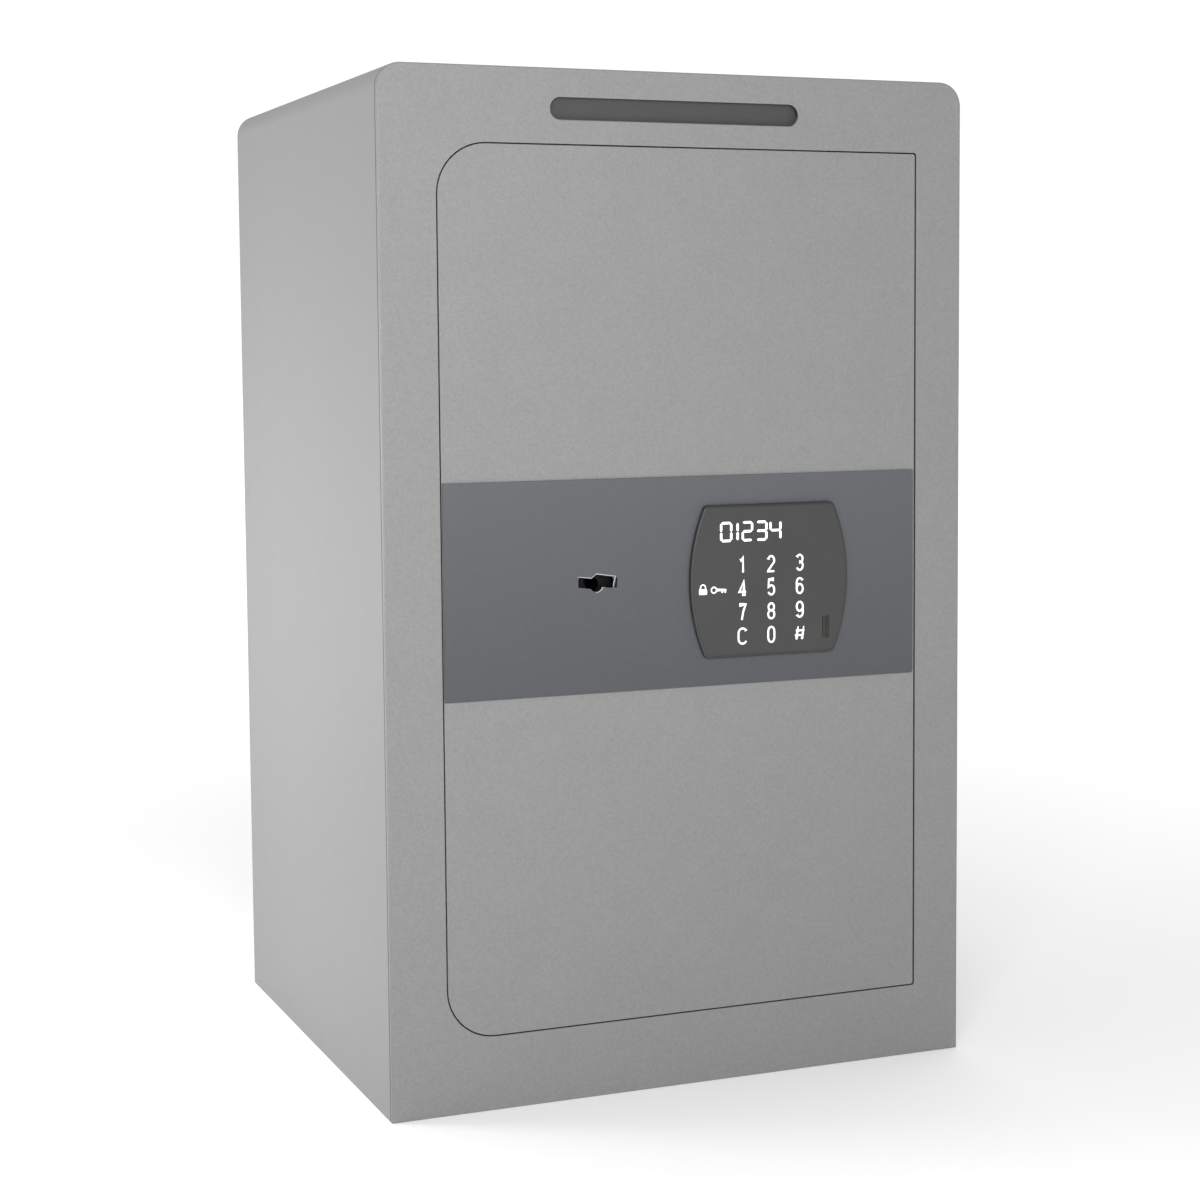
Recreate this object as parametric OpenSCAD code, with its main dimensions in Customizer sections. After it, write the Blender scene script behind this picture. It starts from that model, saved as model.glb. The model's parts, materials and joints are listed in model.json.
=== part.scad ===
/* [Body] */
// Width over the sides
body_w = 370; // [360:1:380]
// Depth from the front plate to the back panel
body_d = 330; // [320:1:345]
// Height
body_h = 600; // [596:1:610]
// Thickness of the sheet in the wrap, base, back and front
sheet_t = 3; // [2.5:0.1:3]
// Outside radius of the two folded top edges
fold_r = 14; // [10:1:18]

/* [Door] */
// Width of the door plate
door_w = 304; // [302:0.5:304]
// Height of the door plate
door_h = 512; // [506:1:512]
// Thickness of the door plate
door_t = 5; // [5:0.1:5]
// Radius of the two corners on the opening side
door_r = 29; // [20:1:34]
// Gap round the door on three sides
door_gap = 0.7; // [0.6:0.1:1.5]
// Gap on the hinge side
hinge_gap = 1; // [0.9:0.1:1.2]

/* [Band and keypad] */
// Height of the dark band across the door
band_h = 125; // [118:1:130]
// Width of the keypad at its middle
keypad_w = 104; // [102:0.5:105]
// Height of the keypad
keypad_h = 91; // [90:0.5:94]
// Height that the keypad stands proud of the band
keypad_proud = 3; // [2.5:0.1:4]

/* [Deposit slot] */
// Length of the slot
slot_w = 157; // [140:1:158]
// Height of the slot
slot_h = 12.5; // [11:0.5:13]

/* [Bolt work] */
// Diameter of each live bolt
bolt_d = 18; // [16:0.5:18]
// Distance that the bolts slide
bolt_travel = 20; // [16:1:20]
// Distance from one bolt to the next
bolt_pitch = 150; // [140:5:155]

/* [Anchor holes] */
// Diameter of the anchor holes in the base and back
anchor_d = 12; // [8:0.5:14]
// Side to side distance of the anchor holes
anchor_w = 220; // [200:5:240]
// Front to back distance of the base anchor holes
anchor_depth = 180; // [160:5:190]
// Up and down distance of the back anchor holes
anchor_h = 300; // [260:10:320]

/* [Hidden] */
$fn = 64;

// The faces that other sizes start from. Y runs from front to back, and the base is at z = 0.
half_w = body_w / 2;
front_y = -body_d / 2;
back_y = body_d / 2;
frame_back_y = front_y + sheet_t;
inner_x = half_w - sheet_t;

// Door outline, a little to the right of the middle.
door_cx = 1.5;
door_cz = 300.5;
door_x0 = door_cx - door_w / 2;
door_x1 = door_cx + door_w / 2;
door_z0 = door_cz - door_h / 2;
door_z1 = door_cz + door_h / 2;
door_back_y = front_y + door_t;
door_sharp_r = 1.5;
open_x0 = door_x0 - door_gap;
open_z0 = door_z0 - door_gap;
open_z1 = door_z1 + door_gap;

// Hinge line, hidden behind the front plate.
hinge_x = door_x1 - 24;
hinge_y = front_y + 7;
pin_r = 3;
pin_play = 0.05;
pin_depth = 22;
bush_r = 3.9;
socket_gap = 2.5;
socket_h = 13;
bracket_h = 44;
bracket_top = door_z1 - 4.5;
bracket_low = door_z0 - 0.2;
socket_top = open_z1 + socket_gap + socket_h;
socket_low = open_z0 - socket_gap - socket_h;

// Deposit slot, chute and flap.
slot_cx = -4;
slot_cz = 577.3;
flap_y = frame_back_y + 1.8;
flap_t = 1;
flap_rod_z = 586;
flap_rod_r = 1;
flap_knuckle_r = 1.7;
chute_x0 = slot_cx - 83;
chute_x1 = slot_cx + 83;
chute_z0 = 566;
chute_z1 = 590;
chute_t = 1.2;
chute_mouth_y = -126;
chute_back_y = -112;

// Band and keypad.
band_t = 1;
band_front_y = front_y - band_t;
band_cz = 303;
band_x0 = door_x0 + 0.2;
band_x1 = door_x1 - 1.3;
keypad_cx = 53.7;
keypad_cz = 302.5;
keypad_front_y = band_front_y - keypad_proud;
keypad_bulge = 9.7;
keypad_r = 3.5;
keypad_side_r = (pow(keypad_h / 2, 2) + pow(keypad_bulge, 2)) / (2 * keypad_bulge);
well_w = 80;
well_h = 77;
well_x0 = keypad_cx - well_w / 2;
well_x1 = keypad_cx + well_w / 2;
well_z0 = keypad_cz - well_h / 2;
well_z1 = keypad_cz + well_h / 2;
overlay_t = 0.5;
port_x = 90.7;
port_z = 272.4;
port_w = 4.4;
port_h = 13.4;
lens_z = 332;

// Key lock.
key_x = -57.5;
key_z = 304;
key_post_r = 3.9;
rotor_r = 7;
journal_r = 5;
case_x0 = -76;
case_x1 = -35;
case_z0 = 279;
case_z1 = 329;
case_back_y = -136;
case_t = 1.5;
lever_t = 1.6;
lever_count = 5;
lever_step = 2.4;
stump_x = -69.5;
stump_z = 287;
stump_r = 2;

// Rack and its two gears. The rack's teeth face up, to the gears above it.
gear_m = 1.5;
rotor_teeth = 17;
pinion_teeth = 12;
pressure = 20;
gear_add = 1.3;
gear_ded = 1.35;
rack_add = 1;
rack_ded = 1.6;
tooth_slack = 0.12;
gear_y0 = -133;
gear_y1 = -127;
tooth_pitch = PI * gear_m;
rack_z = key_z - gear_m * rotor_teeth / 2;
pinion_x = key_x + 11 * tooth_pitch;
pinion_z = rack_z + gear_m * pinion_teeth / 2;
shaft_r = 1.5;

// Bolt work.
bolt_r = bolt_d / 2;
bolt_y = -141;
bolt_play = 0.3;
bolt_tip_x = -146;
bar_x0 = -84;
bar_x1 = -78;
bolt_zs = [door_cz - bolt_pitch, door_cz, door_cz + bolt_pitch];
jamb_x = open_x0 - 2;
keeper_r = bolt_r + 0.8;

// Inner cover, a box of thin sheet on the back of the door.
cover_x0 = -136;
cover_x1 = 117;
cover_z0 = 66;
cover_z1 = 535;
cover_back_y = -122;
cover_t = 1.2;
cover_inner_y = cover_back_y - cover_t;
screw_xs = [cover_x0 - 5, cover_x1 + 5];
screw_zs = [110, 230, 371, 491];
lug_w = 10;

// Batteries, in the lower part of the door.
cell_r = 7.25;
cell_len = 50.5;
cell_count = 4;
cell_step = 15.5;
cell_x0 = 24;
cell_y = -135;
box_x0 = 14;
box_x1 = 81;
box_z0 = 140;
box_z1 = 200;
box_front_y = -146;
box_t = 1.5;
lid_t = 1.6;
lid_y = cover_back_y + 0.4;
lid_travel = 70;

// Control board and the reset button above it.
board_x0 = 20;
board_x1 = 105;
board_z0 = 366;
board_z1 = 436;
board_y = -150;
board_t = 1.6;
reset_x = 88;
reset_z = 400;
reset_travel = 2;

// Wires lie on the back of the door, and their points are hand chosen.
wire_r = 1.1;
motor_wire = [
  [-5, -150, 305.4], [-5, -151, 318], [-2, -152, 332], [6, -152, 344], [20, -151, 352],
  [30, -148, 358], [34, -146.4, 364], [34, -146, 368.9]
];
battery_wire = [
  [66, -141, 200.1], [66, -144, 208], [66, -150, 220], [70, -153, 240], [90, -154, 262],
  [104, -154, 290], [107, -154, 320], [104, -154, 340], [94, -151, 352], [84, -147.6, 359],
  [80, -146.2, 364], [80, -146, 369.9]
];
switch_wire = [
  [-79.9, -147, 485], [-72, -148, 484], [-60, -150, 477], [-46, -152, 464], [-28, -152, 453],
  [0, -152, 450], [26, -150, 450], [40, -147, 446], [44, -146, 439], [44, -146, 431.6]
];

// ---- Shapes shared by the sub-parts ----

// A box from its lowest corner to its highest.
module span(lo, hi) {
  translate(lo) cube(hi - lo);
}

// A plate parallel to the front, from an outline drawn with x to the right and z up.
module plate(y, t) {
  translate([0, y + t, 0]) rotate([90, 0, 0]) linear_extrude(t) children();
}

module rod_x(x0, x1, y, z, r) {
  translate([x0, y, z]) rotate([0, 90, 0]) cylinder(h = x1 - x0, r = r);
}

module rod_y(x, z, y0, y1, r) {
  translate([x, y0, z]) rotate([-90, 0, 0]) cylinder(h = y1 - y0, r = r);
}

module rod_z(x, y, z0, z1, r) {
  translate([x, y, z0]) cylinder(h = z1 - z0, r = r);
}

// What is cut off a square corner at (x, z) to round it. sx and sz point into the plate.
module corner(x, z, sx, sz, r) {
  difference() {
    translate([x + (sx > 0 ? -1 : -r), z + (sz > 0 ? -1 : -r)]) square(r + 1);
    translate([x + sx * r, z + sz * r]) circle(r);
  }
}

// A rectangle with its own radius at each corner: bottom left, bottom right, top right, top left.
module rounded(x0, z0, x1, z1, radii) {
  difference() {
    translate([x0, z0]) square([x1 - x0, z1 - z0]);
    if (radii[0] > 0) corner(x0, z0, 1, 1, radii[0]);
    if (radii[1] > 0) corner(x1, z0, -1, 1, radii[1]);
    if (radii[2] > 0) corner(x1, z1, -1, -1, radii[2]);
    if (radii[3] > 0) corner(x0, z1, 1, -1, radii[3]);
  }
}

// A slot with round ends, along x.
module round_slot(cx, cz, w, h) {
  translate([cx - (w - h) / 2, cz - h / 2]) square([w - h, h]);
  for (side = [-1, 1]) translate([cx + side * (w - h) / 2, cz]) circle(h / 2);
}

module body_outline(inset = 0) {
  r = fold_r - inset;
  rounded(-half_w + inset, 0, half_w - inset, body_h - inset, [0, 0, r, r]);
}

module door_outline(grow_left = 0, grow_right = 0) {
  r_left = door_r + grow_left;
  r_right = door_sharp_r;
  rounded(door_x0 - grow_left, door_z0 - grow_left, door_x1 + grow_right, door_z1 + grow_left,
    [r_left, r_right, r_right, r_left]);
}

// The keypad's barrel outline, with its corners rounded.
module keypad_outline(inset = 0) {
  offset(r = keypad_r) offset(delta = -keypad_r - inset) intersection() {
    translate([keypad_cx - keypad_w / 2, keypad_cz - keypad_h / 2]) square([keypad_w, keypad_h]);
    translate([keypad_cx - keypad_w / 2 + keypad_side_r, keypad_cz]) circle(keypad_side_r, $fn = 160);
    translate([keypad_cx + keypad_w / 2 - keypad_side_r, keypad_cz]) circle(keypad_side_r, $fn = 160);
  }
}

module well_outline(inset = 0) {
  rounded(well_x0 + inset, well_z0 + inset, well_x1 - inset, well_z1 - inset, [3, 3, 3, 3]);
}

// The double-bit key's hole, centred on its post, with its right bit the higher one.
module key_outline() {
  rotate(-8) {
    circle(key_post_r);
    translate([-10.6, -2.6]) square([10.6, 5.4]);
    translate([0, -0.5]) square([11, 6.1]);
    polygon([[-2.8, 2.8], [0, 5.6], [0, 0]]);
  }
}

// Involute teeth. The angle of a flank from its tooth's middle depends on the radius.
function involute(a) = tan(a) * 180 / PI - a;
function flank(r, teeth) =
  let (base_r = gear_m * teeth / 2 * cos(pressure), a = acos(min(1, base_r / r)))
  90 / teeth + involute(pressure) - involute(a) - tooth_slack * 180 / PI / (gear_m * teeth);
function gear_points(teeth) =
  let (
    pitch_r = gear_m * teeth / 2,
    base_r = pitch_r * cos(pressure),
    root_r = pitch_r - gear_ded,
    low_r = max(root_r, base_r),
    tip_r = pitch_r + gear_add,
    rs = [root_r, low_r, low_r + (tip_r - low_r) / 3, low_r + (tip_r - low_r) * 2 / 3, tip_r]
  )
  [
    for (i = [0 : teeth - 1])
      for (k = [0 : 9])
        let (
          r = rs[k < 5 ? k : 9 - k],
          a = flank(max(r, low_r), teeth),
          turn = -90 + (i + 0.5) * 360 / teeth + (k < 5 ? -a : a)
        )
        if (root_r < base_r || (k != 0 && k != 9)) r * [cos(turn), sin(turn)]
  ];

// A gear with one tooth space facing straight down.
module gear(x, z, teeth) {
  translate([x, 0, z]) plate(gear_y0, gear_y1 - gear_y0) polygon(gear_points(teeth));
}

// A round wire along a list of points. Its rings are square to the path, and up is never along it.
function unit(v) = v / norm(v);
function heading(p, i) = unit(p[min(i + 1, len(p) - 1)] - p[max(i - 1, 0)]);
module wire(p, r, up, sides = 8) {
  rings = [
    for (i = [0 : len(p) - 1])
      let (t = heading(p, i), n = unit(cross(t, up)), b = cross(t, n))
      for (k = [0 : sides - 1]) p[i] + r * (cos(k * 360 / sides) * n + sin(k * 360 / sides) * b)
  ];
  last = (len(p) - 1) * sides;
  walls = [
    for (i = [0 : len(p) - 2])
      for (k = [0 : sides - 1])
        let (a = i * sides + k, b = i * sides + (k + 1) % sides)
        for (face = [[a, a + sides, b + sides], [a, b + sides, b]]) face
  ];
  first_cap = [for (k = [0 : sides - 1]) k];
  last_cap = [for (k = [sides - 1 : -1 : 0]) last + k];
  polyhedron(points = rings, faces = concat(walls, [first_cap, last_cap]), convexity = 6);
}

// ---- The body ----

module body_wrap() {
  color("darkgray") plate(frame_back_y, body_d - sheet_t) difference() {
    body_outline();
    body_outline(sheet_t);
    translate([-inner_x, -1]) square([2 * inner_x, 2]);
  }
}

module back_panel() {
  color("darkgray") difference() {
    plate(back_y - sheet_t, sheet_t) body_outline(sheet_t + 0.1);
    for (sx = [-1, 1], sz = [-1, 1])
      rod_y(sx * anchor_w / 2, body_h / 2 + sz * anchor_h / 2, back_y - sheet_t - 1, back_y + 1,
        anchor_d / 2);
  }
}

module base_plate() {
  color("darkgray") difference() {
    span([-inner_x, frame_back_y, 0], [inner_x, back_y - sheet_t, sheet_t]);
    for (sx = [-1, 1], sy = [-1, 1])
      rod_z(sx * anchor_w / 2, sy * anchor_depth / 2, -1, sheet_t + 1, anchor_d / 2);
  }
}

module front_frame() {
  color("darkgray") plate(front_y, sheet_t) difference() {
    body_outline();
    door_outline(door_gap, hinge_gap);
    round_slot(slot_cx, slot_cz, slot_w, slot_h);
  }
}

// A folded angle down the opening side: a flange on the front plate and a web with the bolt holes.
module left_jamb() {
  color("gray") difference() {
    union() {
      span([jamb_x - 16, frame_back_y, 24], [jamb_x, frame_back_y + 2, 562]);
      span([jamb_x - 2, frame_back_y, 24], [jamb_x, -118, 562]);
    }
    for (z = bolt_zs)
      span([jamb_x - 3, bolt_y - keeper_r, z - keeper_r], [jamb_x + 1, bolt_y + keeper_r, z + keeper_r]);
  }
}

module right_jamb() {
  color("gray") {
    span([168, frame_back_y, 24], [180, frame_back_y + 2, 575]);
    span([168, frame_back_y, 24], [170, -118, 575]);
  }
}

module top_jamb() {
  color("gray") {
    span([jamb_x, frame_back_y, open_z1 + 2], [hinge_x - 16, -130, open_z1 + 4]);
    span([jamb_x, frame_back_y, open_z1 + 2], [hinge_x - 16, frame_back_y + 1.5, open_z1 + 7]);
  }
}

module bottom_jamb() {
  color("gray") {
    span([jamb_x, frame_back_y, open_z0 - 4], [hinge_x - 16, -130, open_z0 - 2]);
    span([jamb_x, frame_back_y, open_z0 - 14], [hinge_x - 16, frame_back_y + 2, open_z0 - 2]);
  }
}

// A strip behind the door's edge on three sides, which the closed door meets.
module door_stop() {
  stop_y = door_back_y + 0.8;
  color("dimgray") plate(stop_y, 2) difference() {
    rounded(jamb_x, open_z0 - 2, hinge_x - 18, open_z1 + 2, [0, 0, 0, 0]);
    rounded(jamb_x + 5, open_z0 + 3.5, hinge_x, open_z1 - 3.5, [18, 0, 0, 18]);
  }
}

module hinge_sockets() {
  color("gray") for (side = [-1, 1]) {
    z = side > 0 ? socket_top - socket_h : socket_low;
    difference() {
      span([hinge_x - 12, frame_back_y, z], [hinge_x + 14, hinge_y + 12, z + socket_h]);
      rod_z(hinge_x, hinge_y, z - 1, z + socket_h + 1, bush_r + 0.05);
    }
  }
}

module hinge_bushes() {
  color("peru") for (side = [-1, 1]) {
    z = side > 0 ? socket_top - socket_h : socket_low;
    difference() {
      rod_z(hinge_x, hinge_y, z, z + socket_h, bush_r);
      rod_z(hinge_x, hinge_y, z - 1, z + socket_h + 1, pin_r + pin_play);
    }
  }
}

// A loose ring between the lower bracket and its socket, which carries the door's weight.
module thrust_collar() {
  z0 = socket_low + socket_h;
  z1 = bracket_low - 0.2;
  color("peru") difference() {
    rod_z(hinge_x, hinge_y, z0, z1, 6);
    rod_z(hinge_x, hinge_y, z0 - 1, z1 + 1, pin_r + 0.1);
    span([hinge_x - 10, frame_back_y - 3, z0 - 1], [hinge_x + 10, frame_back_y + 0.2, z1 + 1]);
  }
}

// A leaf spring on the opening side's jamb, which pushes the unlocked door ajar.
module push_off_spring() {
  x = jamb_x;
  y = door_back_y + 0.1;
  color("silver") translate([0, 0, 392]) linear_extrude(24) polygon([
    [x, y + 34], [x + 0.8, y + 34], [x + 1, y + 20], [x + 8, y + 14], [x + 12.6, y + 2], [x + 12, y],
    [x + 10, y], [x + 10.4, y + 1], [x + 11.2, y + 1.6], [x + 7.4, y + 13.2], [x, y + 19.4]
  ]);
}

module deposit_chute() {
  y0 = frame_back_y;
  color("gray") difference() {
    union() {
      span([chute_x0, y0, chute_z0], [chute_x1, chute_mouth_y, chute_z0 + chute_t]);
      span([chute_x0, y0, chute_z1 - chute_t], [chute_x1, chute_back_y, chute_z1]);
      span([chute_x0, chute_back_y - chute_t, chute_z0 - 6], [chute_x1, chute_back_y, chute_z1]);
      span([chute_x0, y0, chute_z0], [chute_x0 + chute_t, chute_back_y, chute_z1]);
      span([chute_x1 - chute_t, y0, chute_z0], [chute_x1, chute_back_y, chute_z1]);
    }
    rod_x(chute_x0 - 1, chute_x1 + 1, flap_y, flap_rod_z, flap_rod_r + 0.05);
  }
}

// Teeth at the chute's lip, which stop a deposit from being drawn back out.
module fishing_comb() {
  teeth = 20;
  step = (chute_x1 - chute_x0 - 2 * chute_t - 1) / teeth;
  x0 = chute_x0 + chute_t + 0.5;
  color("gray") plate(chute_mouth_y - 1.2, 1.2) polygon(concat(
    [[x0, chute_z0 + chute_t]],
    [for (i = [0 : teeth - 1], k = [0, 1]) [x0 + (i + k * 0.5) * step, chute_z0 + chute_t + 2 + k * 3]],
    [[x0 + teeth * step, chute_z0 + chute_t + 2], [x0 + teeth * step, chute_z0 + chute_t]]
  ));
}

module flap_rod() {
  color("silver") rod_x(chute_x0 - 0.8, chute_x1 + 0.8, flap_y, flap_rod_z, flap_rod_r);
}

module floor_mat() {
  color("darkslategray") difference() {
    span([-178, -114, sheet_t], [178, back_y - sheet_t - 2, sheet_t + 2]);
    for (sx = [-1, 1], sy = [-1, 1])
      rod_z(sx * anchor_w / 2, sy * anchor_depth / 2, 0, 10, anchor_d / 2 + 4);
  }
}

// ---- The flap behind the deposit slot ----

module slot_flap() {
  x0 = chute_x0 + chute_t + 0.6;
  x1 = chute_x1 - chute_t - 0.6;
  color("dimgray") difference() {
    union() {
      span([x0, flap_y - flap_t / 2, chute_z0 + chute_t + 1], [x1, flap_y + flap_t / 2, flap_rod_z]);
      rod_x(x0, x1, flap_y, flap_rod_z, flap_knuckle_r);
    }
    rod_x(x0 - 1, x1 + 1, flap_y, flap_rod_z, flap_rod_r + pin_play);
  }
}

// ---- The door ----

module door_plate() {
  color("darkgray") difference() {
    plate(front_y, door_t) difference() {
      door_outline();
      well_outline();
    }
    rod_y(key_x, key_z, front_y - 1, door_back_y + 1, 11.8);
    for (z = [door_z0 - 1, door_z1 - 29]) rod_z(hinge_x, hinge_y, z, z + 30, pin_r + 0.3);
    for (x = screw_xs, z = screw_zs) rod_y(x, z, door_back_y - 3.4, door_back_y + 1, 2.1);
  }
}

module band_plate() {
  color("dimgray") plate(band_front_y, band_t) difference() {
    rounded(band_x0, band_cz - band_h / 2, band_x1, band_cz + band_h / 2, [0.5, 1.5, 1.5, 0.5]);
    well_outline();
    translate([key_x, key_z]) key_outline();
  }
}

module keypad_housing() {
  wall = 1.6;
  color("dimgray") difference() {
    union() {
      plate(keypad_front_y, keypad_proud) keypad_outline();
      plate(band_front_y, band_t + door_t) well_outline(0.3);
    }
    plate(keypad_front_y - 1, 1 + overlay_t) keypad_outline(1.4);
    plate(keypad_front_y + wall, 20) well_outline(2.3);
    span([14, keypad_front_y - 1, lens_z - 9], [72, keypad_front_y + wall + 1, lens_z + 9]);
    span([port_x - port_w / 2, keypad_front_y - 1, port_z - port_h / 2],
      [port_x + port_w / 2, keypad_front_y + 1.2, port_z + port_h / 2]);
  }
}

module keypad_overlay() {
  color("dimgray") plate(keypad_front_y, overlay_t) difference() {
    keypad_outline(1.5);
    translate([port_x, port_z]) square([port_w, port_h], center = true);
  }
}

module display_lens() {
  y = keypad_front_y + overlay_t;
  color("black") span([14.2, y, lens_z - 8.8], [71.8, y + 1, lens_z + 8.8]);
}

module display_module() {
  y = keypad_front_y + overlay_t + 1;
  color("black") span([18, y, lens_z - 7], [68, y + 3, lens_z + 5]);
}

module keypad_pcb() {
  y = keypad_front_y + overlay_t + 4;
  color("darkgreen") plate(y, board_t) rounded(17, 268, 90.5, 338, [1, 1, 1, 1]);
}

// Two spring strips behind the small port, for a spare battery.
module port_contacts() {
  y = keypad_front_y + 0.5;
  color("gold") for (x = [port_x - 1.2, port_x + 1.2])
    span([x - 0.45, y, port_z - 5.6], [x + 0.45, y + 0.7, port_z + 5.6]);
}

module hinge_brackets() {
  color("gray") for (side = [-1, 1]) {
    z0 = side > 0 ? bracket_top - bracket_h : bracket_low;
    z1 = z0 + bracket_h;
    difference() {
      span([hinge_x - 12, door_back_y, z0], [hinge_x + 12, door_back_y + 13, z1]);
      rod_z(hinge_x, hinge_y, side > 0 ? z1 - pin_depth : z0 - 1, side > 0 ? z1 + 1 : z0 + pin_depth,
        pin_r + pin_play);
    }
  }
}

module hinge_pins() {
  color("silver") {
    rod_z(hinge_x, hinge_y, bracket_top - pin_depth, socket_top - 1, pin_r);
    rod_z(hinge_x, hinge_y, socket_low + 1, bracket_low + pin_depth, pin_r);
  }
}

// A fixed bar that reaches behind the front plate on the hinge side.
module dog_bar() {
  color("gray") span([hinge_x + 5, door_back_y, 130], [hinge_x + 33, door_back_y + 4, 471]);
}

// A channel on the door that the bolts run in.
module bolt_guide() {
  z0 = 116;
  z1 = 500;
  color("silver") difference() {
    union() {
      span([-132, door_back_y, z0], [-110, door_back_y + 2, z1]);
      span([-132, door_back_y, z0], [-130, -128, z1]);
      span([-112, door_back_y, z0], [-110, -128, z1]);
    }
    for (z = bolt_zs) rod_x(-133, -109, bolt_y, z, bolt_r + bolt_play);
  }
}

module lock_case() {
  color("silver") difference() {
    span([case_x0, door_back_y, case_z0], [case_x1, case_back_y - case_t, case_z1]);
    span([case_x0 + case_t, door_back_y + case_t, case_z0 + case_t],
      [case_x1 - case_t, case_back_y, case_z1 - case_t]);
    rod_y(key_x, key_z, door_back_y - 1, door_back_y + case_t + 1, rotor_r + pin_play);
  }
}

module lock_case_cover() {
  y = case_back_y - case_t;
  color("silver") difference() {
    span([case_x0, y, case_z0], [case_x1, case_back_y, case_z1]);
    rod_y(key_x, key_z, y - 1, case_back_y + 1, journal_r + pin_play);
  }
}

module lever_stump() {
  color("silver") rod_y(stump_x, stump_z, door_back_y + case_t, case_back_y - case_t, stump_r);
}

module gear_motor() {
  color("silver") difference() {
    union() {
      span([pinion_x - 6, -159, pinion_z - 5], [pinion_x + 6, -144, pinion_z + 5]);
      span([pinion_x - 6, -144, pinion_z - 5], [pinion_x + 6, -135, pinion_z + 5]);
      rod_y(pinion_x, pinion_z, -135, -126.5, shaft_r);
    }
    for (side = [-1, 1]) span([pinion_x + side * 6 - 0.6, -158, pinion_z - 6],
      [pinion_x + side * 6 + 0.6, -145, pinion_z + 6]);
  }
}

// A strap over the motor, screwed to the door on both sides.
module motor_bracket() {
  z0 = pinion_z - 4;
  z1 = pinion_z + 4;
  color("silver") {
    for (side = [-1, 1]) {
      x = pinion_x + side * 11.5;
      difference() {
        span([x - 4.5, door_back_y, z0], [x + 4.5, door_back_y + 1.5, z1]);
        rod_y(x + side * 0.5, pinion_z, door_back_y - 1, door_back_y + 3, 1.6);
      }
    }
    difference() {
      span([pinion_x - 8.4, door_back_y, z0], [pinion_x + 8.4, -133.6, z1]);
      span([pinion_x - 6.9, door_back_y - 1, z0 - 1], [pinion_x + 6.9, -134.9, z1 + 1]);
      rod_y(pinion_x, pinion_z, -136, -133, 3);
    }
  }
}

// A nylon saddle that holds the rack up to its gears.
module rack_guide() {
  x0 = -34;
  x1 = -20;
  top = rack_z - rack_ded - 9.3;
  color("ivory") {
    span([x0, door_back_y, top - 6], [x1, gear_y1 + 2.6, top - 0.1]);
    span([x0, gear_y0 - 2.6, top - 6], [x1, gear_y0 - 0.2, top + 6]);
    span([x0, gear_y1 + 0.2, top - 6], [x1, gear_y1 + 2.6, top + 6]);
  }
}

module limit_switches() {
  color("black") for (z = [480, 102]) span([-100, -152, z], [-80, -142, z + 9]);
}

module control_board() {
  color("darkgreen") plate(board_y, board_t) difference() {
    rounded(board_x0, board_z0, board_x1, board_z1, [2, 2, 2, 2]);
    for (x = [board_x0 + 4, board_x1 - 4], z = [board_z0 + 4, board_z1 - 4]) translate([x, z]) circle(1.6);
  }
  y = board_y + board_t;
  color("black") {
    span([46, y, 392], [58, y + 2, 404]);
    span([66, y, 410], [74, y + 1.8, 422]);
    span([reset_x - 3.2, y, reset_z - 3.2], [reset_x + 3.2, y + 3.6, reset_z + 3.2]);
  }
  color("ivory") {
    span([42, y, 370], [60, y + 5, 375.5]);
    span([30, y, 369], [38, y + 5, 374]);
    span([76, y, 370], [84, y + 5, 375]);
    span([40, y, 427], [48, y + 5, 431.5]);
  }
}

module board_standoffs() {
  color("gold") for (x = [board_x0 + 4, board_x1 - 4], z = [board_z0 + 4, board_z1 - 4]) {
    rod_y(x, z, door_back_y, board_y, 2.8);
    rod_y(x, z, board_y, board_y + board_t + 0.8, 1.5);
  }
}

// A flat cable from the back of the keypad up to the board.
module ribbon_cable() {
  color("lightgray") translate([44, 0, 0]) rotate([90, 0, 90]) linear_extrude(14) polygon([
    [-162.8, 318], [-161.6, 320], [-156, 328], [-153, 336], [-153, 356], [-149.4, 363.2], [-146, 369.8],
    [-145, 369.8], [-148.4, 362.6], [-152, 355.6], [-152, 336], [-155.2, 327.4], [-160.6, 319],
    [-162.8, 315.6]
  ]);
}

module wiring() {
  color("red") wire(motor_wire, wire_r, [0, 1, 0]);
  color("black") wire(battery_wire, wire_r, [0, 1, 0]);
  color("white") wire(switch_wire, wire_r, [0, 1, 0]);
}

// An open tray for four cells side by side.
module battery_box() {
  color("black") difference() {
    span([box_x0, box_front_y, box_z0], [box_x1, cover_inner_y, box_z1]);
    span([box_x0 + box_t, box_front_y + box_t, box_z0 + box_t],
      [box_x1 - box_t, cover_inner_y + 1, box_z1 - box_t]);
  }
}

module battery_contacts() {
  color("silver") for (i = [0 : cell_count - 1]) {
    x = cell_x0 + i * cell_step;
    span([x - 5, cell_y - 5, box_z0 + box_t], [x + 5, cell_y + 5, box_z0 + box_t + 0.4]);
    span([x - 5, cell_y - 5, box_z1 - box_t - 0.4], [x + 5, cell_y + 5, box_z1 - box_t]);
    translate([x, cell_y, i % 2 == 0 ? box_z0 + box_t + 0.4 : box_z1 - box_t - 3]) cylinder(h = 2.6, r = 3);
  }
}

module batteries() {
  color("goldenrod") for (i = [0 : cell_count - 1]) {
    x = cell_x0 + i * cell_step;
    up = i % 2 == 0;
    z0 = up ? box_z0 + box_t + 3 : box_z0 + box_t + 0.5 + 1.2;
    rod_z(x, cell_y, z0, z0 + cell_len - 1.2, cell_r);
    rod_z(x, cell_y, up ? z0 + cell_len - 1.2 : z0 - 1.2, up ? z0 + cell_len : z0, 2.6);
  }
}

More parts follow.
